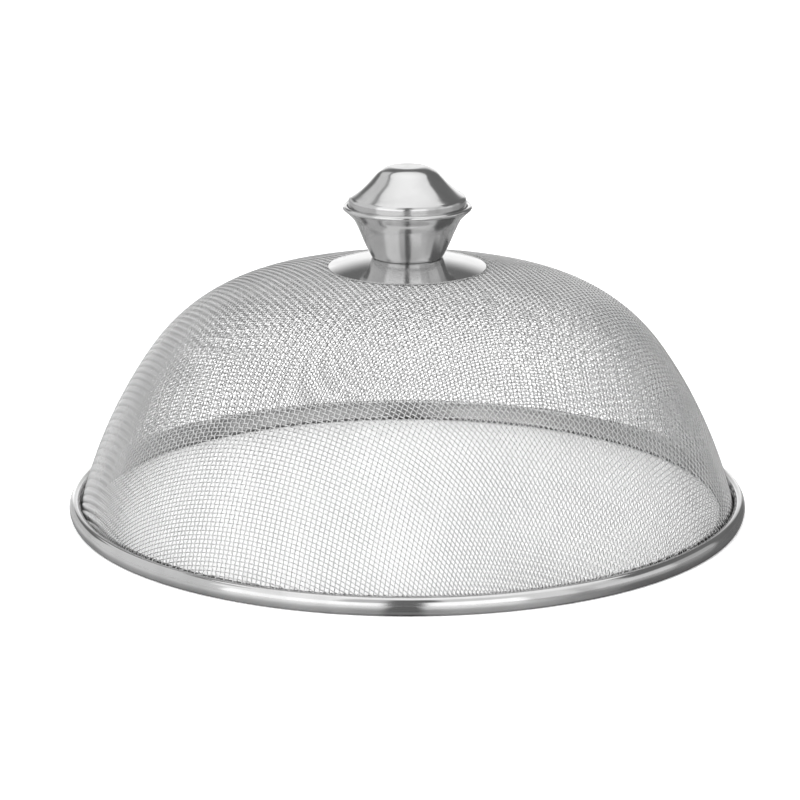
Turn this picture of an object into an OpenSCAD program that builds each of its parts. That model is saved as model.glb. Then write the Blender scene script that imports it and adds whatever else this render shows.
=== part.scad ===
// Buffet food cover: a wire cloth dome in a rolled rim, with a disc and a screwed-on knob on its crown.
// Millimetres, +Z up, origin at the centre of the rim's underside.

/* [Rim] */
// Outside diameter of the rim
rim_d = 300; // [250:1:360]
// Height of the rim
rim_h = 7.8; // [6.8:0.1:9]
// Width of the rim's channel, from its outer face to its heel
rim_w = 11.2; // [10:0.1:13]
// Thickness of the rim's strip
band_t = 0.6; // [0.4:0.05:0.8]
// Radius of the convex outer face, seen in section
face_r = 5.4; // [4.8:0.1:8]
// Radius of the rolled lip over the outer face
lip_r = 2.2; // [1.8:0.1:2.6]
// Radius of the corner under the outer face
corner_r = 0.9; // [0.85:0.05:1.2]
// Radius of the heel between the floor and the inner leg
heel_r = 1.5; // [1:0.1:2]
// Height of the inner leg
leg_h = 6.4; // [5:0.1:7]
// Diameter of the hoop wire in the channel
hoop_d = 3; // [2:0.1:3.6]

/* [Wire cloth] */
// Diameter of the cloth's wire
wire_d = 0.5; // [0.3:0.05:0.6]
// Distance from the rim's outer face to the cloth, at the lip's height
cloth_inset = 6.3; // [6:0.1:7]
// Gap under the cloth's cut edge, in the channel
edge_gap = 0.5; // [0.2:0.1:1]
// Clearance of the hole in the cloth round the screw
cloth_hole_clear = 0.5; // [0.3:0.1:1]
// Windows that stand for the cloth's mesh, counted round the dome
window_columns = 24; // [24:1:32]
// Windows that stand for the cloth's mesh, counted from the disc down to the rim
window_rows = 6; // [5:1:8]
// Share of the windows' pitch that stays cloth, both ways
rib_share = 0.25; // [0.2:0.01:0.4]

/* [Dome] */
// Lean of the dome's wall at the rim, from upright
foot_lean = 15.6; // [12:0.1:18]
// Radius of the dome's side, seen in section
side_r = 204; // [185:1:225]
// Angle from the axis at which the side turns into the shoulder
shoulder_angle = 54.5; // [50:0.1:60]
// Radius of the shoulder, seen in section
shoulder_r = 78.8; // [65:0.1:95]
// Angle from the axis at which the shoulder turns into the crown
crown_angle = 14.9; // [13.5:0.1:18]

/* [Discs] */
// Diameter of the polished disc
disc_d = 69; // [60:0.5:80]
// Thickness of the polished disc
disc_t = 0.6; // [0.4:0.05:1]
// Rise of the polished disc from its edge to its seat
disc_rise = 4.3; // [3:0.1:6]
// Margin of the disc's flat seat round the knob's floor
seat_margin = 1; // [0.5:0.1:2]
// Diameter of the backing disc inside the dome
backing_d = 60; // [45:0.5:68]
// Thickness of the backing disc
backing_t = 0.8; // [0.5:0.05:1.2]

/* [Knob cup] */
// Thickness of the knob's sheet
knob_t = 0.6; // [0.4:0.05:0.8]
// Radius of the cup's flat floor
floor_r = 14.85; // [12:0.05:17]
// Radius of the corner round the floor
floor_corner_r = 1; // [0.9:0.05:1.4]
// Lean of the wall where it leaves the floor, from upright
barrel_lean = 33; // [28:0.5:38]
// Radius of the bulge low on the wall, seen in section
barrel_r = 26; // [20:0.5:32]
// Lean of the straight wall
wall_lean = 23.5; // [18:0.5:26]
// Height of the crease between wall and flange
crease_h = 16.2; // [14:0.1:17]
// Radius of the crease
crease_r = 5; // [3:0.1:7]
// Lean of the flange
flange_lean = 48.5; // [44:0.5:52]
// Radius of the cup over its rolled edge
cup_r = 28.25; // [27:0.05:31]
// Radius of the rolled edge, seen in section
roll_r = 1.1; // [0.9:0.05:1.3]

/* [Knob cap] */
// Height of the whole knob
knob_h = 40; // [38:0.5:45]
// Clearance between the cap and the cup's rolled edge
cap_gap = 0.3; // [0.2:0.05:0.5]
// Radius of the cap's flat top
top_r = 6.3; // [5:0.1:8]
// Radius of the shoulder round the flat top
cap_shoulder_r = 10; // [8:0.1:11]
// Radius at which the cone turns into the brim
waist_r = 19.2; // [18.5:0.1:20.5]
// Height of the waist, as a share of the way from the brim's edge up to the top
waist_share = 0.376; // [0.33:0.001:0.41]
// Radius of the waist between cone and brim, seen in section
waist_bend_r = 14; // [8:0.5:18]
// Radius of the brim's rounded edge
brim_edge_r = 2.6; // [1.6:0.1:3.2]
// Height of the skirt under the brim's edge
skirt_h = 4.9; // [4:0.1:6]

/* [Fastening] */
// Diameter of the screw's thread
screw_d = 5; // [4:0.5:6]
// Length of the screw under its head
screw_l = 20; // [18:0.5:24]
// Diameter of the screw's pan head
head_d = 9.5; // [8.5:0.1:11]
// Height of the pan head
head_h = 3.3; // [2.5:0.1:4]
// Radius of the pan head's rounded edge
head_edge_r = 1.4; // [0.8:0.1:2]
// Length of the cross recess in the head
recess_l = 5.2; // [4:0.1:6]
// Width of the cross recess
recess_w = 1.1; // [0.8:0.1:1.6]
// Depth of the cross recess
recess_depth = 1.8; // [1:0.1:2.2]
// Height of the chamfer on the screw's tip
tip_chamfer = 0.6; // [0.3:0.1:1]
// Diameter of the flat washer
washer_d = 15; // [12:0.5:18]
// Thickness of the flat washer
washer_t = 1; // [0.8:0.1:1.6]
// Diameter of the lock washer
lock_d = 9.2; // [8.4:0.1:10]
// Thickness of the lock washer
lock_t = 1.2; // [0.8:0.1:1.6]
// Width of the slit in the lock washer
slit_w = 1; // [0.5:0.1:1.5]
// Slope of the slit
slit_angle = 25; // [10:1:40]
// Width of the nut's hexagon across its flats
nut_af = 8; // [7.5:0.1:10]
// Height of the nut
nut_h = 9.2; // [6:0.1:11]
// Diameter of the nut's welding flange
nut_flange_d = 15; // [12:0.5:20]
// Thickness of the nut's welding flange
nut_flange_t = 1.2; // [0.8:0.1:2]

/* [Fits] */
// Gap between pieces that rest on each other along a curved face
seat_gap = 0.05; // [0.02:0.01:0.1]
// Clearance of the screw in the nut, on the radius
thread_clear = 0.05; // [0.02:0.01:0.09]
// Clearance of the screw in washers and discs, on the radius
hole_clear = 0.25; // [0.15:0.05:0.5]

/* [Hidden] */
$fn = 128;
// Straight steps that stand for one arc of an outline
arc_steps = 12;
// Sides of the nut's hexagon
hex_sides = 6;
// How far cuts run past what they cut
overrun = 1;

rim_r = rim_d / 2;
screw_r = screw_d / 2;
hole_r = screw_r + hole_clear;
cloth_t = 2 * wire_d;

// Unit vector of the section, written as [radius, height], at an angle up from straight outwards
function ray(angle) = [cos(angle), sin(angle)];
// Unit vector along a wall that leans by an angle from upright
function rise(lean) = [sin(lean), cos(lean)];
// Points along an arc, written as [radius, height]
function arc(centre, radius, from, to) =
    [for (i = [0:arc_steps]) centre + radius * ray(from + (to - from) * i / arc_steps)];
function reversed(points) = [for (i = [len(points) - 1:-1:0]) points[i]];

// Dome: the cloth's outer face is three arcs, each tangent to the next
side_c = [rim_r - cloth_inset, rim_h] - side_r * ray(foot_lean);
shoulder_c = side_c + (side_r - shoulder_r) * ray(90 - shoulder_angle);
crown_r = shoulder_r + shoulder_c[0] / sin(crown_angle);
crown_c = shoulder_c - (crown_r - shoulder_r) * ray(90 - crown_angle);
cloth_hole_r = screw_r + cloth_hole_clear;
cloth_edge_z = band_t + edge_gap;

// Height of a sphere cap about the crown's centre, and radius of the cloth's side at a height
function crown_z(radius, r) = crown_c[1] + sqrt(radius * radius - r * r);
function side_at(radius, z) = side_c[0] + sqrt(radius * radius - (z - side_c[1]) * (z - side_c[1]));
function cloth_face(depth) = concat(
    arc(crown_c, crown_r - depth, acos(cloth_hole_r / (crown_r - depth)), 90 - crown_angle),
    arc(shoulder_c, shoulder_r - depth, 90 - crown_angle, 90 - shoulder_angle),
    arc(side_c, side_r - depth, 90 - shoulder_angle, asin((cloth_edge_z - side_c[1]) / (side_r - depth))));

// Windows in the cloth, placed by their distance from the axis along the cloth's outer face
function arc_length(radius, angle) = radius * angle * PI / 180;
function arc_angle(radius, length) = length / radius * 180 / PI;
crown_length = arc_length(crown_r, crown_angle);
shoulder_length = crown_length + arc_length(shoulder_r, shoulder_angle - crown_angle);
foot_length = shoulder_length + arc_length(side_r, 90 - foot_lean - shoulder_angle);
disc_length = arc_length(crown_r, asin(disc_d / 2 / crown_r));
window_pitch = (foot_length - disc_length) / window_rows;
window_angle = (1 - rib_share) * 360 / window_columns;
function cloth_point(length, depth) =
    length < crown_length ? crown_c + (crown_r - depth) * ray(90 - arc_angle(crown_r, length))
    : length < shoulder_length ? shoulder_c
        + (shoulder_r - depth) * ray(90 - crown_angle - arc_angle(shoulder_r, length - crown_length))
    : side_c + (side_r - depth) * ray(90 - shoulder_angle - arc_angle(side_r, length - shoulder_length));

// Rim: the outer face runs from the corner's angle up to the lip's
face_c = [rim_r - face_r, rim_h / 2];
lip_angle = asin((rim_h / 2 - lip_r) / (face_r - lip_r));
corner_angle = asin((corner_r - rim_h / 2) / (face_r - corner_r));
lip_c = face_c + (face_r - lip_r) * ray(lip_angle);
corner_c = face_c + (face_r - corner_r) * ray(corner_angle);
heel_c = [rim_r - rim_w + heel_r, heel_r];
// The inner leg leans until its top touches the inside of the cloth
leg_top = [side_at(side_r - cloth_t, leg_h) - seat_gap, leg_h];
leg_reach = leg_top - heel_c;
leg_lean = atan2(leg_reach[0], leg_reach[1]) + asin((heel_r - band_t) / norm(leg_reach));
function band_face(depth) = concat(
    [leg_top + (band_t - depth) * ray(180 - leg_lean)],
    arc(heel_c, heel_r - depth, 180 - leg_lean, 270),
    arc(corner_c, corner_r - depth, -90, corner_angle),
    arc(face_c, face_r - depth, corner_angle, lip_angle),
    arc(lip_c, lip_r - depth, lip_angle, 180));
hoop_r = hoop_d / 2;
hoop_z = band_t + hoop_r + seat_gap;
hoop_ring_r = side_at(side_r + hoop_r + seat_gap, hoop_z);

// Polished disc: a sphere cap from its edge on the cloth up to its flat seat
disc_r = disc_d / 2;
disc_seat_r = floor_r + seat_margin;
disc_edge_z = crown_z(crown_r, disc_r) + seat_gap;
disc_seat_z = disc_edge_z + disc_rise;
disc_c_z = (disc_seat_z + disc_edge_z) / 2
    - (disc_r * disc_r - disc_seat_r * disc_seat_r) / (2 * disc_rise);
disc_cap_r = norm([disc_r, disc_edge_z - disc_c_z]);
seat_z = disc_seat_z + disc_t;
function disc_face(radius, z) = concat([[hole_r, z]],
    arc([0, disc_c_z], radius, asin((z - disc_c_z) / radius), acos(disc_r / radius)));

// Stack under the crown
backing_r = backing_d / 2;
backing_cap_r = crown_r - cloth_t - seat_gap;
washer_top_z = crown_z(backing_cap_r - backing_t, washer_d / 2) - seat_gap;
lock_top_z = washer_top_z - washer_t;
head_top_z = lock_top_z - lock_t;
function backing_face(radius) = arc(crown_c, radius, acos(hole_r / radius), acos(backing_r / radius));

// Knob cup, heights from its floor
floor_c = [floor_r, floor_corner_r];
barrel_c = floor_c - (barrel_r - floor_corner_r) * ray(-barrel_lean);
barrel_top = barrel_c + barrel_r * ray(-wall_lean);
wall_top = barrel_top + (crease_h - barrel_top[1]) / cos(wall_lean) * rise(wall_lean);
crease_c = wall_top + crease_r * ray(-wall_lean);
flange_foot = crease_c - crease_r * ray(-flange_lean);
roll_reach = (cup_r - roll_r + roll_r * cos(flange_lean) - flange_foot[0]) / sin(flange_lean);
roll_c = flange_foot + roll_reach * rise(flange_lean) - roll_r * ray(-flange_lean);
function cup_face(depth) = concat([[hole_r, depth]],
    arc(floor_c, floor_corner_r - depth, -90, -barrel_lean),
    arc(barrel_c, barrel_r - depth, -barrel_lean, -wall_lean),
    arc(crease_c, -crease_r - depth, -wall_lean, -flange_lean),
    arc(roll_c, roll_r - depth, -flange_lean, 180));

// Knob cap, heights from the cup's floor: its skirt stands on the inside of the cup's flange
cap_r = cup_r - 2 * roll_r - cap_gap;
flange_inside = flange_foot - knob_t * ray(-flange_lean);
skirt_z = flange_inside[1] + (cap_r - flange_inside[0]) / tan(flange_lean) + seat_gap;
brim_c = [cap_r - brim_edge_r, skirt_z + skirt_h];
cap_shoulder_c = [top_r, knob_h - cap_shoulder_r];
waist = [waist_r, brim_c[1] + waist_share * (knob_h - brim_c[1])];
// Cone and brim run from the waist, tangent to the shoulder and to the brim's edge
from_shoulder = waist - cap_shoulder_c;
from_brim = waist - brim_c;
cone_lean = atan2(from_shoulder[1], from_shoulder[0]) + acos(cap_shoulder_r / norm(from_shoulder));
brim_lean = atan2(from_brim[1], from_brim[0]) - acos(brim_edge_r / norm(from_brim));
waist_run = waist_bend_r * tan((brim_lean - cone_lean) / 2);
waist_c = waist - waist_run * rise(180 - cone_lean) + waist_bend_r * ray(cone_lean);
function cap_face(depth) = concat([[0, knob_h - depth]],
    arc(cap_shoulder_c, cap_shoulder_r - depth, 90, cone_lean),
    arc(waist_c, -waist_bend_r - depth, cone_lean, brim_lean),
    arc(brim_c, brim_edge_r - depth, brim_lean, 0),
    [[cap_r - depth, skirt_z]]);

// Sheet between two faces, turned round the axis
module turned_sheet(outside, inside) {
    rotate_extrude() polygon(concat(outside, reversed(inside)));
}

// Flat ring with its top at zero
module ring(outer_r, inner_r, thickness) {
    translate([0, 0, -thickness]) difference() {
        cylinder(r = outer_r, h = thickness);
        translate([0, 0, -overrun]) cylinder(r = inner_r, h = thickness + 2 * overrun);
    }
}

// Rolled channel with an inner leg
module rim_band() {
    color("silver") turned_sheet(band_face(0), band_face(band_t));
}

// Wire hoop on the channel's floor, against the cloth
module hoop_wire() {
    color("dimgray") rotate_extrude() translate([hoop_ring_r, hoop_z]) circle(r = hoop_r);
}

// Cutter for one window of the cloth, between two lengths along it
module window(upper, lower) {
    rotate_extrude(angle = window_angle) polygon([
        cloth_point(upper, -overrun), cloth_point(lower, -overrun),
        cloth_point(lower, cloth_t + overrun), cloth_point(upper, cloth_t + overrun)]);
}

// Wire cloth, two wires thick, with a plain grid of windows for its mesh
module mesh_dome() {
    color("lightgray") difference() {
        turned_sheet(cloth_face(0), cloth_face(cloth_t));
        for (row = [0:window_rows - 1], column = [0:window_columns - 1])
            rotate([0, 0, column * 360 / window_columns - window_angle / 2]) window(
                disc_length + (row + rib_share / 2) * window_pitch,
                disc_length + (row + 1 - rib_share / 2) * window_pitch);
    }
}

// Convex disc that stands on the crown by its edge
module top_disc() {
    color("gainsboro")
        turned_sheet(disc_face(disc_cap_r + disc_t, seat_z), disc_face(disc_cap_r, disc_seat_z));
}

// Disc under the crown that follows the cloth
module backing_disc() {
    color("gray") turned_sheet(backing_face(backing_cap_r), backing_face(backing_cap_r - backing_t));
}

// Lower half of the knob
module knob_cup() {
    color("silver") translate([0, 0, seat_z]) turned_sheet(cup_face(0), cup_face(knob_t));
}

// Upper half of the knob
module knob_cap() {
    color("whitesmoke") translate([0, 0, seat_z]) turned_sheet(cap_face(0), cap_face(knob_t));
}

// Hexagon nut with a round welding flange, on the cup's floor
module weld_nut() {
    color("slategray") translate([0, 0, seat_z + knob_t]) difference() {
        union() {
            cylinder(r = nut_flange_d / 2, h = nut_flange_t);
            cylinder(d = nut_af / cos(180 / hex_sides), h = nut_h, $fn = hex_sides);
        }
        translate([0, 0, -overrun]) cylinder(r = screw_r + thread_clear, h = nut_h + 2 * overrun);
    }
}

// Washer against the backing disc
module flat_washer() {
    color("darkgray") translate([0, 0, washer_top_z]) ring(washer_d / 2, hole_r, washer_t);
}

// Split washer with a sloping slit
module lock_washer() {
    color("gray") translate([0, 0, lock_top_z]) difference() {
        ring(lock_d / 2, hole_r, lock_t);
        translate([lock_d / 2, 0, -lock_t / 2]) rotate([slit_angle, 0, 0])
            cube([lock_d, slit_w, 2 * lock_t + 2 * overrun], center = true);
    }
}

// Pan-head screw with a cross recess, its head down
module fixing_screw() {
    color("darkgray") translate([0, 0, head_top_z]) difference() {
        rotate_extrude() polygon(concat(
            [[0, screw_l], [screw_r - tip_chamfer, screw_l], [screw_r, screw_l - tip_chamfer]],
            [[screw_r, 0], [head_d / 2, 0]],
            arc([head_d / 2 - head_edge_r, head_edge_r - head_h], head_edge_r, 0, -90),
            [[0, -head_h]]));
        for (turn = [0, 90])
            rotate([0, 0, turn]) translate([-recess_l / 2, -recess_w / 2, -head_h - overrun])
                cube([recess_l, recess_w, recess_depth + overrun]);
    }
}

rim_band();
hoop_wire();
mesh_dome();
top_disc();
backing_disc();
knob_cup();
knob_cap();
weld_nut();
flat_washer();
lock_washer();
fixing_screw();
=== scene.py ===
"""Buffet food cover: woven wire cloth in a rolled rim, with a disc and a pressed knob on its crown."""
import math

import bmesh
import bpy
import numpy as np
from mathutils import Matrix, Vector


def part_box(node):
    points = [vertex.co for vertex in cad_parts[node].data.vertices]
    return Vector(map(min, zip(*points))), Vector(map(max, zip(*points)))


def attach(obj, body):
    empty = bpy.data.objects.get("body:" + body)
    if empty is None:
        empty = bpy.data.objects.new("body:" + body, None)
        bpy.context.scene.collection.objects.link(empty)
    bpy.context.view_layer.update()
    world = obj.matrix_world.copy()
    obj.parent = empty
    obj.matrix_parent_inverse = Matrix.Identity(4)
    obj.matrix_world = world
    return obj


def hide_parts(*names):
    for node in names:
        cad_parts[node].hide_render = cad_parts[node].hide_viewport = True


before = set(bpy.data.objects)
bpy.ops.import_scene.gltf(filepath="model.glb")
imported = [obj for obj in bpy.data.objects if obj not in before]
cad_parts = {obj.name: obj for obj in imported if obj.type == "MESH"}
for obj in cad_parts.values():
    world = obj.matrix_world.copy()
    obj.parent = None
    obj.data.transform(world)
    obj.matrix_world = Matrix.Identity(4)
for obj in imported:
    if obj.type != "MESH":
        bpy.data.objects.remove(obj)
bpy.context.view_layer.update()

MM = 0.001

# Sizes of the rim, as the solids have them
RIM_R = 150 * MM
RIM_H = 7.8 * MM
RIM_W = 11.2 * MM
BAND_T = 0.6 * MM
FACE_R = 5.4 * MM
LIP_R = 2.2 * MM
CORNER_R = 0.9 * MM
HEEL_R = 1.5 * MM
LEG_H = 6.4 * MM

# Sizes of the dome
CLOTH_INSET = 6.3 * MM
FOOT_LEAN = 15.6
SIDE_R = 204 * MM
SHOULDER_ANGLE = 54.5
SHOULDER_R = 78.8 * MM
CROWN_ANGLE = 14.9

# Wire cloth: the two pitches of the weave and the way that its warp runs, as an azimuth
WIRE_D = 0.5 * MM
WARP_PITCH = 1.82 * MM
WEFT_PITCH = 2.15 * MM
WARP_AZIMUTH = math.radians(-119.5)
CLOTH_EDGE_Z = 1.1 * MM
CLOTH_HOLE_R = 3.2 * MM
CLOTH_REACH = 200 * MM
WIRE_SIDES = 6
WIRE_STRIP_SHARE = 0.9
PIECES_PER_WAY = 4
MERIDIAN_STEPS = 20
SOLVE_ROUNDS = 8

# Sizes of the discs
DISC_R = 34.5 * MM
DISC_T = 0.6 * MM
DISC_RISE = 4.3 * MM
DISC_SEAT_R = 15.85 * MM
SCREW_HOLE_R = 2.75 * MM
BACKING_R = 30 * MM
BACKING_T = 0.8 * MM
SEAT_GAP = 0.05 * MM

# Sizes of the knob, whose crease and waist bend over longer radii than in the solids
KNOB_T = 0.6 * MM
FLOOR_R = 14.85 * MM
FLOOR_CORNER_R = 1 * MM
BARREL_LEAN = 33
BARREL_R = 26 * MM
WALL_LEAN = 23.5
CREASE_H = 14.37 * MM
CREASE_R = 14 * MM
FLANGE_LEAN = 48.5
CUP_R = 28.25 * MM
ROLL_R = 1.1 * MM
KNOB_H = 40 * MM
CAP_GAP = 0.3 * MM
TOP_R = 6.3 * MM
CAP_SHOULDER_R = 10 * MM
WAIST_R = 19.2 * MM
WAIST_SHARE = 0.376
WAIST_BEND_R = 34 * MM
BRIM_EDGE_R = 2.6 * MM
SKIRT_H = 4.9 * MM

# Sizes of the screw
SCREW_R = 2.5 * MM
SCREW_L = 20 * MM
TIP_CHAMFER = 0.6 * MM
THREAD_PITCH = 0.8 * MM
THREAD_DEPTH = 0.45 * MM
THREAD_STEPS = 8
HEAD_R = 4.75 * MM
HEAD_H = 3.3 * MM
HEAD_EDGE_R = 1.4 * MM
RECESS_L = 5.2 * MM
RECESS_W = 1.1 * MM
RECESS_DEPTH = 1.8 * MM

# Fineness of the turned pieces
ARC_STEP = 5
LEAST_STEPS = 10
SEGMENTS = 288
SCREW_SEGMENTS = 72
SHARP_ANGLE = math.radians(35)
JOIN_REACH = 0.001 * MM
LEAST_RADIUS = 1e-9


def ray(angle):
    """Unit vector of a section, as radius and height, at an angle up from straight outwards."""
    return np.array((math.cos(math.radians(angle)), math.sin(math.radians(angle))))


def rise(lean):
    """Unit vector up a wall that leans by an angle from upright."""
    return np.array((math.sin(math.radians(lean)), math.cos(math.radians(lean))))


def bearing(vector):
    """Angle of a section's vector, up from straight outwards."""
    return math.degrees(math.atan2(vector[1], vector[0]))


def arc(centre, radius, start, end):
    """Points of an arc of a section, from one angle to another."""
    steps = max(LEAST_STEPS, round(abs(end - start) / ARC_STEP))
    return [np.asarray(centre) + radius * ray(angle) for angle in np.linspace(start, end, steps + 1)]


# The cloth's outer face is three arcs, each tangent to the next
SIDE_C = np.array((RIM_R - CLOTH_INSET, RIM_H)) - SIDE_R * ray(FOOT_LEAN)
SHOULDER_C = SIDE_C + (SIDE_R - SHOULDER_R) * ray(90 - SHOULDER_ANGLE)
CROWN_R = SHOULDER_R + SHOULDER_C[0] / math.sin(math.radians(CROWN_ANGLE))
CROWN_C = SHOULDER_C - (CROWN_R - SHOULDER_R) * ray(90 - CROWN_ANGLE)
CLOTH_T = 2 * WIRE_D


def crown_z(radius, reach):
    """Height of a sphere about the crown's centre, at a distance from the axis."""
    return CROWN_C[1] + math.sqrt(radius * radius - reach * reach)


def shape(name, points, quads, uv):
    """Object of four-cornered faces, with the map that unrolls it."""
    mesh = bpy.data.meshes.new(name)
    mesh.vertices.add(len(points))
    mesh.vertices.foreach_set("co", np.asarray(points, np.float32).ravel())
    mesh.loops.add(quads.size)
    mesh.loops.foreach_set("vertex_index", quads.astype(np.int32).ravel())
    mesh.polygons.add(len(quads))
    mesh.polygons.foreach_set("loop_start", np.arange(0, quads.size, 4, dtype=np.int32))
    mesh.update(calc_edges=True)
    mesh.uv_layers.new(name="OFBake").data.foreach_set("uv", np.asarray(uv, np.float32).ravel())
    piece = bpy.data.objects.new(name, mesh)
    bpy.context.scene.collection.objects.link(piece)
    return piece


def turned(name, outline, body, node, finish):
    """Piece whose closed outline is turned round the axis, in place of a solid.

    The outline is one list of points, or a list for each of the turn's segments.
    """
    outline = np.array(outline)
    rings = outline if outline.ndim == 3 else np.repeat(outline[None], SEGMENTS, 0)
    segments, count = rings.shape[:2]
    turns = np.linspace(0, 2 * math.pi, segments, endpoint=False)[:, None]
    points = np.stack((np.cos(turns) * rings[..., 0], np.sin(turns) * rings[..., 0], rings[..., 1]), -1)
    here, up = np.meshgrid(np.arange(segments), np.arange(count), indexing="ij")
    along, across = (here + 1) % segments, (up + 1) % count
    corners = ((here, up), (along, up), (along, across), (here, across))
    quads = np.stack([h * count + u for h, u in corners], -1).reshape(-1, 4)
    lengths = np.linalg.norm(np.roll(rings[0], -1, 0) - rings[0], axis=1)
    share = np.append(0, np.cumsum(lengths)) / lengths.sum()
    flat = ((here, up), (here + 1, up), (here + 1, up + 1), (here, up + 1))
    uv = np.stack([np.stack((h / segments, share[u]), -1) for h, u in flat], 2)
    piece = shape(name, points.reshape(-1, 3), quads, uv)
    close_and_smooth(piece.data)
    dress(piece, finish)
    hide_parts(node)
    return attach(piece, body)


def close_and_smooth(mesh):
    """Joins what meets, turns every face outwards and keeps only real edges sharp."""
    work = bmesh.new()
    work.from_mesh(mesh)
    bmesh.ops.remove_doubles(work, verts=work.verts, dist=JOIN_REACH)
    bmesh.ops.delete(work, geom=[edge for edge in work.edges if not edge.link_faces], context="EDGES")
    bmesh.ops.recalc_face_normals(work, faces=work.faces)
    work.to_mesh(mesh)
    work.free()
    mesh.shade_smooth()
    mesh.set_sharp_from_angle(angle=SHARP_ANGLE)


def dress(piece, finish):
    """Gives a piece its finish."""
    piece.data.materials.clear()
    piece.data.materials.append(finish)


class Term:
    """A value in a node tree: sums and products of terms add Math nodes."""

    def __init__(self, nodes, socket):
        self.nodes, self.socket = nodes, socket

    def math(self, operation, first, second=None):
        inputs = {0: first} if second is None else {0: first, 1: second}
        return self.nodes.add("ShaderNodeMath", {"operation": operation}, inputs)

    def __add__(self, other):
        return self.math("ADD", self, other)

    def __sub__(self, other):
        return self.math("SUBTRACT", self, other)

    def __rsub__(self, other):
        return self.math("SUBTRACT", other, self)

    def __mul__(self, other):
        return self.math("MULTIPLY", self, other)

    def __truediv__(self, other):
        return self.math("DIVIDE", self, other)

    def __pow__(self, other):
        return self.math("POWER", self, other)

    __radd__, __rmul__ = __add__, __mul__

    def over(self, low, high):
        """Eases from 0 at low to 1 at high."""
        inputs = {"Value": self, "From Min": low, "From Max": high}
        return self.nodes.add("ShaderNodeMapRange", {"interpolation_type": "SMOOTHSTEP"}, inputs)

    def within(self, low, high, soft):
        """1 between two values, easing to 0 outside them."""
        return self.over(low - soft, low + soft) * (1 - self.over(high - soft, high + soft))


class Nodes:
    """The node tree of one finish or of the surroundings."""

    def __init__(self, owner):
        owner.use_nodes = True
        self.tree = owner.node_tree
        self.tree.nodes.clear()

    def add(self, kind, settings=None, inputs=None, output=0):
        """Adds a node: its settings come first, then the values or links of its sockets."""
        node = self.tree.nodes.new(kind)
        for name, value in (settings or {}).items():
            setattr(node, name, value)
        for name, value in (inputs or {}).items():
            if isinstance(value, Term):
                self.tree.links.new(value.socket, node.inputs[name])
            else:
                node.inputs[name].default_value = value
        return Term(self, node.outputs[output]) if node.outputs else None

    def split(self, vector):
        """The three parts of a vector."""
        first = self.add("ShaderNodeSeparateXYZ", None, {0: vector})
        return [Term(self, socket) for socket in first.socket.node.outputs]

    def joined(self, x, y, z):
        return self.add("ShaderNodeCombineXYZ", None, {0: x, 1: y, 2: z})

    def noise(self, vector, scale, detail):
        return self.add("ShaderNodeTexNoise", None, {"Vector": vector, "Scale": scale, "Detail": detail})

    def mixed(self, share, first, second):
        """Colour between two colours."""
        return self.add("ShaderNodeMix", {"data_type": "RGBA"}, {0: share, 6: first, 7: second}, 2)


def grey(level):
    """Opaque colour with no hue."""
    return (level, level, level, 1.0)


# Finishes: greys of the steel, clean and dulled, its roughness, and what its marks add to that
POLISHED_GREYS = grey(0.70), grey(0.63)
RIM_ROUGHNESS = 0.07
KNOB_ROUGHNESS = 0.13
SMEAR_ROUGHNESS = 0.04
RING_ROUGHNESS = 0.04
WIRE_GREYS = grey(0.87), grey(0.79)
WIRE_ROUGHNESS = 0.22
PATCH_ROUGHNESS = 0.08
WIRE_GRAIN_ROUGHNESS = 0.06
FASTENER_GREYS = grey(0.58), grey(0.46)
FASTENER_ROUGHNESS = 0.28
TUMBLED_ROUGHNESS = 0.12
BUMP_STRENGTH = 0.15
BUMP_DEPTH = 0.02 * MM
SPUN = 0.5
NOT_SPUN = 0.0
SPUN_TURN = 0.25


def metal(nodes, colour, roughness, bump, spun):
    """Bare steel: the shader's own constants are set on its sockets."""
    relief = {"Strength": BUMP_STRENGTH, "Distance": BUMP_DEPTH, "Height": bump}
    normal = nodes.add("ShaderNodeBump", None, relief)
    inputs = {"Base Color": colour, "Metallic": 1.0, "Roughness": roughness, "Normal": normal,
              "Anisotropic": spun, "Anisotropic Rotation": SPUN_TURN}
    shader = nodes.add("ShaderNodeBsdfPrincipled", None, inputs)
    nodes.add("ShaderNodeOutputMaterial", None, {"Surface": shader})


def polished_steel(name, roughness):
    """Pressed sheet, polished on the lathe: fine rings round the axis and faint smears."""
    finish = bpy.data.materials.new(name)
    nodes = Nodes(finish)
    place = nodes.add("ShaderNodeTexCoord", None, None, "Object")
    x, y, z = nodes.split(place)
    radius = (x * x + y * y) ** 0.5
    rings = nodes.noise(nodes.joined(radius, z, 0.0), scale=9000.0, detail=3.0)
    smears = nodes.noise(place, scale=55.0, detail=4.0).over(low=0.35, high=0.7)
    roughness = roughness + SMEAR_ROUGHNESS * smears + RING_ROUGHNESS * rings
    metal(nodes, nodes.mixed(smears, *POLISHED_GREYS), roughness, rings, SPUN)
    return finish


def drawn_wire():
    """Bright wire, a little dulled in patches by the press."""
    finish = bpy.data.materials.new("drawn_wire")
    nodes = Nodes(finish)
    place = nodes.add("ShaderNodeTexCoord", None, None, "Object")
    patches = nodes.noise(place, scale=40.0, detail=3.0).over(low=0.3, high=0.7)
    grain = nodes.noise(place, scale=4000.0, detail=2.0)
    roughness = WIRE_ROUGHNESS + PATCH_ROUGHNESS * patches + WIRE_GRAIN_ROUGHNESS * grain
    metal(nodes, nodes.mixed(patches, *WIRE_GREYS), roughness, grain, NOT_SPUN)
    return finish


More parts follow.
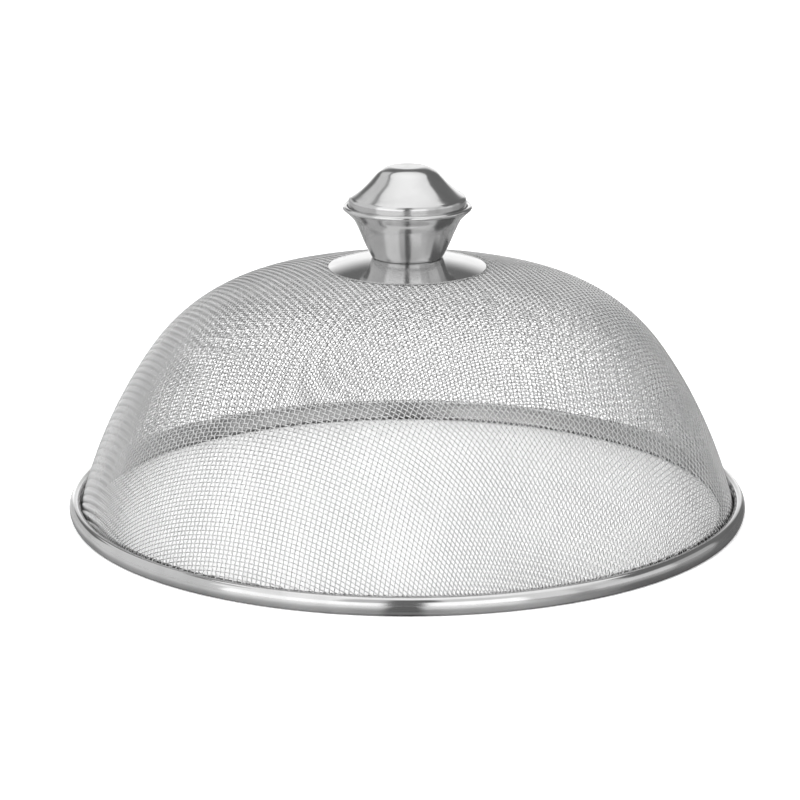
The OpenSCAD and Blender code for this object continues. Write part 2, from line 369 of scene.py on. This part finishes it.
def fastener_steel():
    """Plain steel of the nut, the screw and the washers, with a tumbled grain."""
    finish = bpy.data.materials.new("fastener_steel")
    nodes = Nodes(finish)
    place = nodes.add("ShaderNodeTexCoord", None, None, "Object")
    grain = nodes.noise(place, scale=2500.0, detail=4.0)
    stains = nodes.noise(place, scale=220.0, detail=3.0).over(low=0.4, high=0.7)
    roughness = FASTENER_ROUGHNESS + TUMBLED_ROUGHNESS * grain
    metal(nodes, nodes.mixed(stains, *FASTENER_GREYS), roughness, grain, NOT_SPUN)
    return finish


POLISHED = polished_steel("polished_steel", RIM_ROUGHNESS)
SATIN = polished_steel("satin_steel", KNOB_ROUGHNESS)
WIRE = drawn_wire()
FASTENER = fastener_steel()


def rim_band():
    """Strip rolled into a channel: convex outer face, rolled lip, floor and inner leg."""
    face_c = np.array((RIM_R - FACE_R, RIM_H / 2))
    top = math.degrees(math.asin((RIM_H / 2 - LIP_R) / (FACE_R - LIP_R)))
    bottom = math.degrees(math.asin((CORNER_R - RIM_H / 2) / (FACE_R - CORNER_R)))
    lip_c = face_c + (FACE_R - LIP_R) * ray(top)
    corner_c = face_c + (FACE_R - CORNER_R) * ray(bottom)
    heel_c = np.array((RIM_R - RIM_W + HEEL_R, HEEL_R))
    cloth_r = SIDE_C[0] + math.sqrt((SIDE_R - CLOTH_T) ** 2 - (LEG_H - SIDE_C[1]) ** 2)
    leg_top = np.array((cloth_r - SEAT_GAP, LEG_H))
    reach = leg_top - heel_c
    lean = 90 - bearing(reach) + math.degrees(math.asin((HEEL_R - BAND_T) / np.linalg.norm(reach)))

    def face(depth):
        return [leg_top + (BAND_T - depth) * ray(180 - lean),
                *arc(heel_c, HEEL_R - depth, 180 - lean, 270),
                *arc(corner_c, CORNER_R - depth, -90, bottom),
                *arc(face_c, FACE_R - depth, bottom, top),
                *arc(lip_c, LIP_R - depth, top, 180)]

    outline = face(0) + face(BAND_T)[::-1]
    return turned("rolled_rim", outline, "cover", "rim_band", POLISHED)


def top_disc():
    """Convex disc with a flat seat, standing on the cloth by its edge."""
    edge_z = crown_z(CROWN_R, DISC_R) + SEAT_GAP
    seat_z = edge_z + DISC_RISE
    centre_z = (seat_z + edge_z) / 2 - (DISC_R ** 2 - DISC_SEAT_R ** 2) / (2 * DISC_RISE)
    inside_r = math.hypot(DISC_R, edge_z - centre_z)

    def face(radius, z):
        start = math.degrees(math.asin((z - centre_z) / radius))
        end = math.degrees(math.acos(DISC_R / radius))
        return [(SCREW_HOLE_R, z), *arc((0, centre_z), radius, start, end)]

    outline = face(inside_r + DISC_T, seat_z + DISC_T) + face(inside_r, seat_z)[::-1]
    return turned("crown_disc", outline, "cover", "top_disc", POLISHED)


def backing_disc():
    """Disc under the crown that follows the cloth."""
    def face(radius):
        start, end = (math.degrees(math.acos(reach / radius)) for reach in (SCREW_HOLE_R, BACKING_R))
        return arc(CROWN_C, radius, start, end)

    outer_r = CROWN_R - CLOTH_T - SEAT_GAP
    outline = face(outer_r) + face(outer_r - BACKING_T)[::-1]
    return turned("inner_disc", outline, "cover", "backing_disc", POLISHED)


# The cup's floor stands on the disc, and the knob's heights are from there
SEAT_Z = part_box("knob_cup")[0].z
SEAT = np.array((0, SEAT_Z))
FLOOR_C = np.array((FLOOR_R, FLOOR_CORNER_R))
BARREL_C = FLOOR_C - (BARREL_R - FLOOR_CORNER_R) * ray(-BARREL_LEAN)
BARREL_TOP = BARREL_C + BARREL_R * ray(-WALL_LEAN)
WALL_TOP = BARREL_TOP + (CREASE_H - BARREL_TOP[1]) / math.cos(math.radians(WALL_LEAN)) * rise(WALL_LEAN)
CREASE_C = WALL_TOP + CREASE_R * ray(-WALL_LEAN)
FLANGE_FOOT = CREASE_C - CREASE_R * ray(-FLANGE_LEAN)


def knob_cup():
    """Lower half of the knob: floor, bulged wall, flared flange and rolled edge."""
    flange = math.radians(FLANGE_LEAN)
    reach = (CUP_R - ROLL_R + ROLL_R * math.cos(flange) - FLANGE_FOOT[0]) / math.sin(flange)
    roll_c = FLANGE_FOOT + reach * rise(FLANGE_LEAN) - ROLL_R * ray(-FLANGE_LEAN)

    def face(depth):
        return [np.array((SCREW_HOLE_R, depth)),
                *arc(FLOOR_C, FLOOR_CORNER_R - depth, -90, -BARREL_LEAN),
                *arc(BARREL_C, BARREL_R - depth, -BARREL_LEAN, -WALL_LEAN),
                *arc(CREASE_C, -CREASE_R - depth, -WALL_LEAN, -FLANGE_LEAN),
                *arc(roll_c, ROLL_R - depth, -FLANGE_LEAN, 180)]

    outline = [point + SEAT for point in face(0) + face(KNOB_T)[::-1]]
    return turned("pressed_cup", outline, "knob", "knob_cup", SATIN)


def knob_cap():
    """Upper half of the knob: flat top, cone, brim and a skirt that stands in the cup's flange."""
    cap_r = CUP_R - 2 * ROLL_R - CAP_GAP
    inside = FLANGE_FOOT - KNOB_T * ray(-FLANGE_LEAN)
    skirt_z = inside[1] + (cap_r - inside[0]) / math.tan(math.radians(FLANGE_LEAN)) + SEAT_GAP
    brim_c = np.array((cap_r - BRIM_EDGE_R, skirt_z + SKIRT_H))
    shoulder_c = np.array((TOP_R, KNOB_H - CAP_SHOULDER_R))
    waist = np.array((WAIST_R, brim_c[1] + WAIST_SHARE * (KNOB_H - brim_c[1])))
    down, in_from_brim = waist - shoulder_c, waist - brim_c
    cone = bearing(down) + math.degrees(math.acos(CAP_SHOULDER_R / np.linalg.norm(down)))
    brim = bearing(in_from_brim) - math.degrees(math.acos(BRIM_EDGE_R / np.linalg.norm(in_from_brim)))
    run = WAIST_BEND_R * math.tan(math.radians(brim - cone) / 2)
    waist_c = waist - run * rise(180 - cone) + WAIST_BEND_R * ray(cone)

    def face(depth):
        return [np.array((0, KNOB_H - depth)),
                *arc(shoulder_c, CAP_SHOULDER_R - depth, 90, cone),
                *arc(waist_c, -WAIST_BEND_R - depth, cone, brim),
                *arc(brim_c, BRIM_EDGE_R - depth, brim, 0),
                np.array((cap_r - depth, skirt_z))]

    outline = [point + SEAT for point in face(0) + face(KNOB_T)[::-1]]
    return turned("pressed_cap", outline, "knob", "knob_cap", SATIN)


def fixing_screw():
    """Pan-head screw, head down: a rolled thread on its shank and a cross recess in its head."""
    head_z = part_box("fixing_screw")[0].z + HEAD_H
    rows = round(SCREW_L / THREAD_PITCH) * THREAD_STEPS
    z = np.linspace(SCREW_L, 0, rows + 1)
    outlines = []
    for turn in np.arange(SCREW_SEGMENTS) / SCREW_SEGMENTS:
        groove = np.abs(2 * ((z / THREAD_PITCH - turn) % 1) - 1)
        shank = np.minimum(SCREW_R - THREAD_DEPTH * (1 - groove), SCREW_R - TIP_CHAMFER + SCREW_L - z)
        head = arc((HEAD_R - HEAD_EDGE_R, HEAD_EDGE_R - HEAD_H), HEAD_EDGE_R, 0, -90)
        outline = [(0, SCREW_L), *zip(shank, z), (HEAD_R, 0), *head, (0, -HEAD_H)]
        outlines.append([np.array(point) + (0, head_z) for point in outline])
    screw = turned("pan_head_screw", outlines, "screw", "fixing_screw", FASTENER)
    cut_recess(screw, head_z - HEAD_H)
    return screw


def cut_recess(screw, z):
    """Cuts the cross recess up into a screw's head."""
    cutters = []
    for length, width in ((RECESS_L, RECESS_W), (RECESS_W, RECESS_L)):
        mesh = bpy.data.meshes.new("recess")
        work = bmesh.new()
        bmesh.ops.create_cube(work, size=1)
        bmesh.ops.scale(work, vec=(length, width, 2 * RECESS_DEPTH), verts=work.verts)
        bmesh.ops.translate(work, vec=(0, 0, z), verts=work.verts)
        work.to_mesh(mesh)
        work.free()
        cutter = bpy.data.objects.new("recess", mesh)
        bpy.context.scene.collection.objects.link(cutter)
        cut = screw.modifiers.new("recess", "BOOLEAN")
        cut.operation, cut.solver, cut.object = "DIFFERENCE", "EXACT", cutter
        cutters.append(cutter)
    graph = bpy.context.evaluated_depsgraph_get()
    finished = bpy.data.meshes.new_from_object(screw.evaluated_get(graph))
    screw.modifiers.clear()
    screw.data = finished
    for layer in list(finished.uv_layers):
        finished.uv_layers.remove(layer)
    for cutter in cutters:
        bpy.data.objects.remove(cutter)


def cloth_surface(points):
    """Distance of points from the middle of the cloth, and the cloth's outward direction there."""
    radius = np.hypot(points[..., 0], points[..., 1])
    section = np.stack((radius, points[..., 2]), -1)

    def tilt(centre):
        return np.degrees(np.arctan2(section[..., 0] - centre[0], section[..., 1] - centre[1]))

    crown = tilt(CROWN_C) < CROWN_ANGLE
    shoulder = ~crown & (tilt(SHOULDER_C) < SHOULDER_ANGLE)
    centre = np.where(crown[..., None], CROWN_C, np.where(shoulder[..., None], SHOULDER_C, SIDE_C))
    size = np.where(crown, CROWN_R, np.where(shoulder, SHOULDER_R, SIDE_R)) - WIRE_D
    offset = section - centre
    length = np.linalg.norm(offset, axis=-1)
    out = offset / length[..., None]
    turn = points[..., :2] / np.maximum(radius, LEAST_RADIUS)[..., None]
    return length - size, np.concatenate((out[..., :1] * turn, out[..., 1:]), -1)


def meridian(pitch, count):
    """Points a pitch apart from the crown down to the rim, along +X."""
    point = np.array((0.0, 0.0, CROWN_C[1] + CROWN_R - WIRE_D))
    points = [point]
    for _ in range(count):
        for _ in range(MERIDIAN_STEPS):
            out = cloth_surface(point)[1]
            point = point + np.array((out[2], 0, -out[0])) * pitch / MERIDIAN_STEPS
            off, out = cloth_surface(point)
            point = point - off * out
        points.append(point)
    return np.array(points)


def draped_quarter(warp_pitch, weft_pitch):
    """Crossings of one quarter of the cloth: pressed wires keep their pitch and only shear."""
    rows, columns = int(CLOTH_REACH / warp_pitch), int(CLOTH_REACH / weft_pitch)
    net = np.full((rows + 1, columns + 1, 3), np.nan)
    net[:, 0] = meridian(warp_pitch, rows)
    net[0, :] = meridian(weft_pitch, columns)[:, [1, 0, 2]]
    for diagonal in range(2, rows + columns + 1):
        i = np.arange(max(1, diagonal - columns), min(rows, diagonal - 1) + 1)
        j = diagonal - i
        before, beside, behind = net[i - 1, j], net[i, j - 1], net[i - 1, j - 1]
        known = (before[:, 2] > -RIM_H) & (beside[:, 2] > -RIM_H)
        i, j, before, beside, behind = (part[known] for part in (i, j, before, beside, behind))
        if len(i) == 0:
            continue
        point = before + beside - behind
        for _ in range(SOLVE_ROUNDS):
            off, out = cloth_surface(point)
            to_before, to_beside = point - before, point - beside
            miss = np.stack((((to_before ** 2).sum(-1) - warp_pitch ** 2) / warp_pitch,
                             ((to_beside ** 2).sum(-1) - weft_pitch ** 2) / weft_pitch, off), -1)
            slope = np.stack((2 * to_before / warp_pitch, 2 * to_beside / weft_pitch, out), -2)
            point = point - np.linalg.solve(slope, miss[..., None])[..., 0]
        net[i, j] = point
    return net


def draped_net():
    """Crossings of the whole cloth, from four mirrored quarters, turned to its azimuth."""
    quarter = draped_quarter(WARP_PITCH, WEFT_PITCH)
    rows, columns = quarter.shape[0] - 1, quarter.shape[1] - 1
    net = np.full((2 * rows + 1, 2 * columns + 1, 3), np.nan)
    for flip_i in (1, -1):
        for flip_j in (1, -1):
            i = rows + flip_i * np.arange(rows + 1)
            j = columns + flip_j * np.arange(columns + 1)
            net[np.ix_(i, j)] = quarter * (flip_i, flip_j, 1)
    cos, sin = math.cos(WARP_AZIMUTH), math.sin(WARP_AZIMUTH)
    return net @ np.array(((cos, sin, 0), (-sin, cos, 0), (0, 0, 1)))


def wire_runs(crossings, first_side):
    """Stretches of one wire, as points and outward directions, over and under by turns."""
    known = ~np.isnan(crossings[:, 0])
    start = np.argmax(known)
    crossings = crossings[known]
    side = first_side * (-1.0) ** (start + np.arange(len(crossings)))
    step = crossings[1:] - crossings[:-1]
    points = np.stack((crossings[:-1] + step / 4, crossings[1:] - step / 4), 1).reshape(-1, 3)
    side = np.stack((side[:-1], side[1:]), 1).reshape(-1)
    out = cloth_surface(points)[1]
    points = points + out * (side * WIRE_D / 2)[:, None]
    kept = (points[:, 2] > CLOTH_EDGE_Z + WIRE_D) & (np.hypot(points[:, 0], points[:, 1]) > CLOTH_HOLE_R)
    ends = np.flatnonzero(np.diff(np.concatenate(((0,), kept, (0,)))))
    return [(points[a:b], out[a:b]) for a, b in ends.reshape(-1, 2) if b - a > 2]


def wires(name, runs):
    """Piece of six-sided wires, one after the other, each closed by two faces at either end."""
    points, quads, uv, total = [], [], [], 0
    around = np.arange(WIRE_SIDES)
    turn = 2 * math.pi * around / WIRE_SIDES
    for row, (path, out) in enumerate(runs):
        along = np.gradient(path, axis=0)
        across = np.cross(along, out)
        across /= np.linalg.norm(across, axis=1)[:, None]
        up = np.cross(across, along)
        up /= np.linalg.norm(up, axis=1)[:, None]
        ring = np.cos(turn)[:, None] * up[:, None] + np.sin(turn)[:, None] * across[:, None]
        points.append((path[:, None] + ring * WIRE_D / 2).reshape(-1, 3))
        ring_start = np.arange(len(path) - 1)[:, None] * WIRE_SIDES
        here, beside = ring_start + around, ring_start + (around + 1) % WIRE_SIDES
        wall = np.stack((here, beside, beside + WIRE_SIDES, here + WIRE_SIDES), -1).reshape(-1, 4)
        last = (len(path) - 1) * WIRE_SIDES
        caps = np.array(((3, 2, 1, 0), (5, 4, 3, 0), (last, last + 1, last + 2, last + 3),
                         (last, last + 3, last + 4, last + 5)))
        quads.append(np.concatenate((wall, caps)) + total)
        s = np.arange(len(path)) / (len(path) - 1)
        s0, s1 = np.repeat(s[:-1], WIRE_SIDES), np.repeat(s[1:], WIRE_SIDES)
        low = (row + WIRE_STRIP_SHARE * np.tile(around, len(path) - 1) / WIRE_SIDES) / len(runs)
        high = low + WIRE_STRIP_SHARE / WIRE_SIDES / len(runs)
        sheet = np.stack((np.stack((s0, low), -1), np.stack((s0, high), -1),
                          np.stack((s1, high), -1), np.stack((s1, low), -1)), 1)
        end = np.zeros((4, 4, 2))
        end[..., 1] = (row + (1 + WIRE_STRIP_SHARE) / 2) / len(runs)
        uv.append(np.concatenate((sheet, end)))
        total += len(path) * WIRE_SIDES
    piece = shape(name, np.concatenate(points), np.concatenate(quads), np.concatenate(uv))
    piece.data.shade_smooth()
    dress(piece, WIRE)
    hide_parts("mesh_dome")
    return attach(piece, "cover")


def wire_cloth():
    """The woven dome: warp and weft wires, each way in a few pieces."""
    net = draped_net()
    ways = {"warp": (net.transpose(1, 0, 2), 1), "weft": (net, -1)}
    for way, (lines, side) in ways.items():
        runs = []
        for index, line in enumerate(lines):
            if np.count_nonzero(~np.isnan(line[:, 0])) > 2:
                runs.append(wire_runs(line, side * (-1.0) ** index))
        sizes = np.array([sum(len(path) for path, _ in run) for run in runs])
        group = np.minimum(np.cumsum(sizes) * PIECES_PER_WAY // sizes.sum(), PIECES_PER_WAY - 1)
        for number in range(PIECES_PER_WAY):
            chosen = [stretch for run, g in zip(runs, group) if g == number for stretch in run]
            wires(f"{way}_wires_{number + 1}", chosen)


rim_band()
wire_cloth()
top_disc()
backing_disc()
knob_cup()
knob_cap()
fixing_screw()
for node in ("weld_nut", "flat_washer", "lock_washer"):
    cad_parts[node].material_slots[0].material = FASTENER
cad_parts["hoop_wire"].material_slots[0].material = WIRE


# Camera: where the photograph was taken from
CAMERA_AT = (0, -1245.4 * MM, 392.0 * MM)
CAMERA_PITCH = 15.421
CAMERA_YAW = 0.147
CAMERA_LENS = 131.36
CAMERA_SENSOR = 36
CAMERA_CLIP = (0.05, 50)


def camera():
    """Camera with a long lens, a little above the dome."""
    data = bpy.data.cameras.new("camera")
    data.lens = CAMERA_LENS
    data.sensor_width = CAMERA_SENSOR
    data.clip_start, data.clip_end = CAMERA_CLIP
    view = bpy.data.objects.new("camera", data)
    view.location = CAMERA_AT
    view.rotation_euler = (math.radians(90 - CAMERA_PITCH), 0, math.radians(CAMERA_YAW))
    bpy.context.scene.collection.objects.link(view)
    bpy.context.scene.camera = view


# White floor: its greys, painted shade among them for metal, and where they change, as distances from
# the axis or to the right of it
FLOOR_SIZE = 12
FLOOR_GREY = grey(0.85)
FLOOR_SEEN = grey(2.2)
FLOOR_ROUGHNESS = 0.15
FLOOR_IOR = 2.4
# Painted shade: darker greys under the rim, at the right, in a strip in front and far off
PAINTED_RIM_SHADE_GREY = grey(0.46)
OPEN_GREY = grey(0.86)
OPENING = (150 * MM, 160 * MM)
PAINTED_RIGHT_SHADE_GREY = grey(0.25)
RIGHT_FADE = (45 * MM, 85 * MM)
PAINTED_STRIP_SHADE_GREY = grey(0.18)
STRIP_SIDES = (-10 * MM, 7 * MM)
STRIP_EDGE = 3 * MM
STRIP_FADE = (300 * MM, 400 * MM)
PAINTED_FAR_SHADE_GREY = grey(0.45)
FAR_FADE = (450 * MM, 800 * MM)


def floor():
    """Floor that the camera sees as white but for deep shadow.

    Metal sees painted shade on it: darker under the rim, far off and at the right, and a painted dark
    strip in front, below the gap between the soft boxes.
    """
    corner = FLOOR_SIZE / 2
    corners = [(-corner, -corner, 0), (corner, -corner, 0), (corner, corner, 0), (-corner, corner, 0)]
    mesh = bpy.data.meshes.new("floor")
    mesh.from_pydata(corners, [], [(0, 1, 2, 3)])
    plane = bpy.data.objects.new("floor", mesh)
    bpy.context.scene.collection.objects.link(plane)
    finish = bpy.data.materials.new("white_floor")
    nodes = Nodes(finish)
    camera_ray = nodes.add("ShaderNodeLightPath", None, None, "Is Camera Ray")
    glossy_ray = Term(nodes, camera_ray.socket.node.outputs["Is Glossy Ray"])
    x, y, _ = nodes.split(nodes.add("ShaderNodeTexCoord", None, None, "Object"))
    radius = (x * x + y * y) ** 0.5
    # Painted shade in the colour that metal sees: darker under the rim, at the right, in a strip in
    # front and far off
    mirrored = nodes.mixed(radius.over(*OPENING), PAINTED_RIM_SHADE_GREY, OPEN_GREY)
    mirrored = nodes.mixed(x.over(*RIGHT_FADE), mirrored, PAINTED_RIGHT_SHADE_GREY)
    strip = x.within(*STRIP_SIDES, STRIP_EDGE) * (1 - radius.over(*STRIP_FADE))
    mirrored = nodes.mixed(strip, mirrored, PAINTED_STRIP_SHADE_GREY)
    mirrored = nodes.mixed(radius.over(*FAR_FADE), mirrored, PAINTED_FAR_SHADE_GREY)
    colour = nodes.mixed(glossy_ray, FLOOR_GREY, mirrored)
    inputs = {"Base Color": colour, "Roughness": FLOOR_ROUGHNESS, "IOR": FLOOR_IOR}
    lit = nodes.add("ShaderNodeBsdfPrincipled", None, inputs)
    seen = nodes.add("ShaderNodeBsdfDiffuse", None, {"Color": FLOOR_SEEN})
    shader = nodes.add("ShaderNodeMixShader", None, {0: camera_ray, 1: lit, 2: seen})
    nodes.add("ShaderNodeOutputMaterial", None, {"Surface": shader})
    mesh.materials.append(finish)


# Soft boxes round the object: brightness, then azimuth to the right and height, each from and to
PANELS = (
    (1.28, -62, -7, -90, 24),
    (0.98, -70, -24, 24, 60),
    (0.50, -24, -7, 24, 60),
    (0.60, -128, -62, -90, 24),
    (0.46, -170, -128, -90, 14),
    (0.60, -128, -70, 24, 51),
    (0.64, -152, -128, 28, 51),
    (1.28, 6, 39, -90, 29),
    (0.66, 12, 39, 29, 60),
    (0.72, 39, 57, -90, 60),
    (0.46, 57, 63, -90, 20),
    (0.64, 63, 98, -90, 20),
    (0.32, 98, 122, -90, 20),
    (0.56, 57, 80, 20, 36),
    (0.74, 57, 86, 36, 60),
)
PANEL_EDGE = 2

# The rest of the studio: a dim room, a soft box overhead and a white back
ROOM_LIGHT = 0.18
OVERHEAD_LIGHT = 0.88
TOP_LIGHT = 0.22
TOP_FADE = (45, 90)
OVERHEAD_START = (20, 30)
OVERHEAD_MIDDLE = 0.085
OVERHEAD_HALF_WIDTH = 0.785
OVERHEAD_BACK = 0.70
OVERHEAD_EDGE = (0.9, 1.1)
OVERHEAD_FRONT = (-0.6, -0.5)
BACK_LIGHT = 1.00
BACK_FADE = (12, 30)
BACK_SPREAD = (0.9, 0.97)


def studio():
    """Soft light from all round: boxes on both sides of the camera, one overhead and a white back.

    The box overhead is rounded at its back, and its places are shares of its height over the object.
    The back fades upwards and to both sides.
    """
    world = bpy.data.worlds.new("studio")
    bpy.context.scene.world = world
    nodes = Nodes(world)
    direction = nodes.add("ShaderNodeTexCoord", None, None, "Generated")
    x, y, z = nodes.split(direction)
    to_right = x.math("ARCTAN2", x, y * -1.0) * math.degrees(1)
    height = z.math("ARCSINE", z) * math.degrees(1)
    across, back = x / z, y.math("MAXIMUM", y / z, 0.0)
    reach = ((across - OVERHEAD_MIDDLE) / OVERHEAD_HALF_WIDTH) ** 2 + (back / OVERHEAD_BACK) ** 2
    front = height.over(*OVERHEAD_START) * (y / z).over(*OVERHEAD_FRONT)
    overhead = front * (1 - reach.over(*OVERHEAD_EDGE))
    light = ROOM_LIGHT + (OVERHEAD_LIGHT + TOP_LIGHT * height.over(*TOP_FADE)) * overhead
    to_back = y / (1 - z * z) ** 0.5
    light += BACK_LIGHT * (1 - height.over(*BACK_FADE)) * to_back.over(*BACK_SPREAD)
    beside = 1 - overhead
    for brightness, left, right, low, high in PANELS:
        panel = to_right.within(left, right, PANEL_EDGE) * height.within(low, high, PANEL_EDGE)
        light += brightness * beside * panel
    path = nodes.add("ShaderNodeLightPath", None, None, "Is Camera Ray")
    level = light * (1 - path) + path
    colour = nodes.joined(level, level, level)
    shader = nodes.add("ShaderNodeBackground", None, {"Color": colour, "Strength": 1.0})
    nodes.add("ShaderNodeOutputWorld", None, {"Surface": shader})


camera()
floor()
studio()
bpy.context.scene.view_settings.view_transform = "Standard"
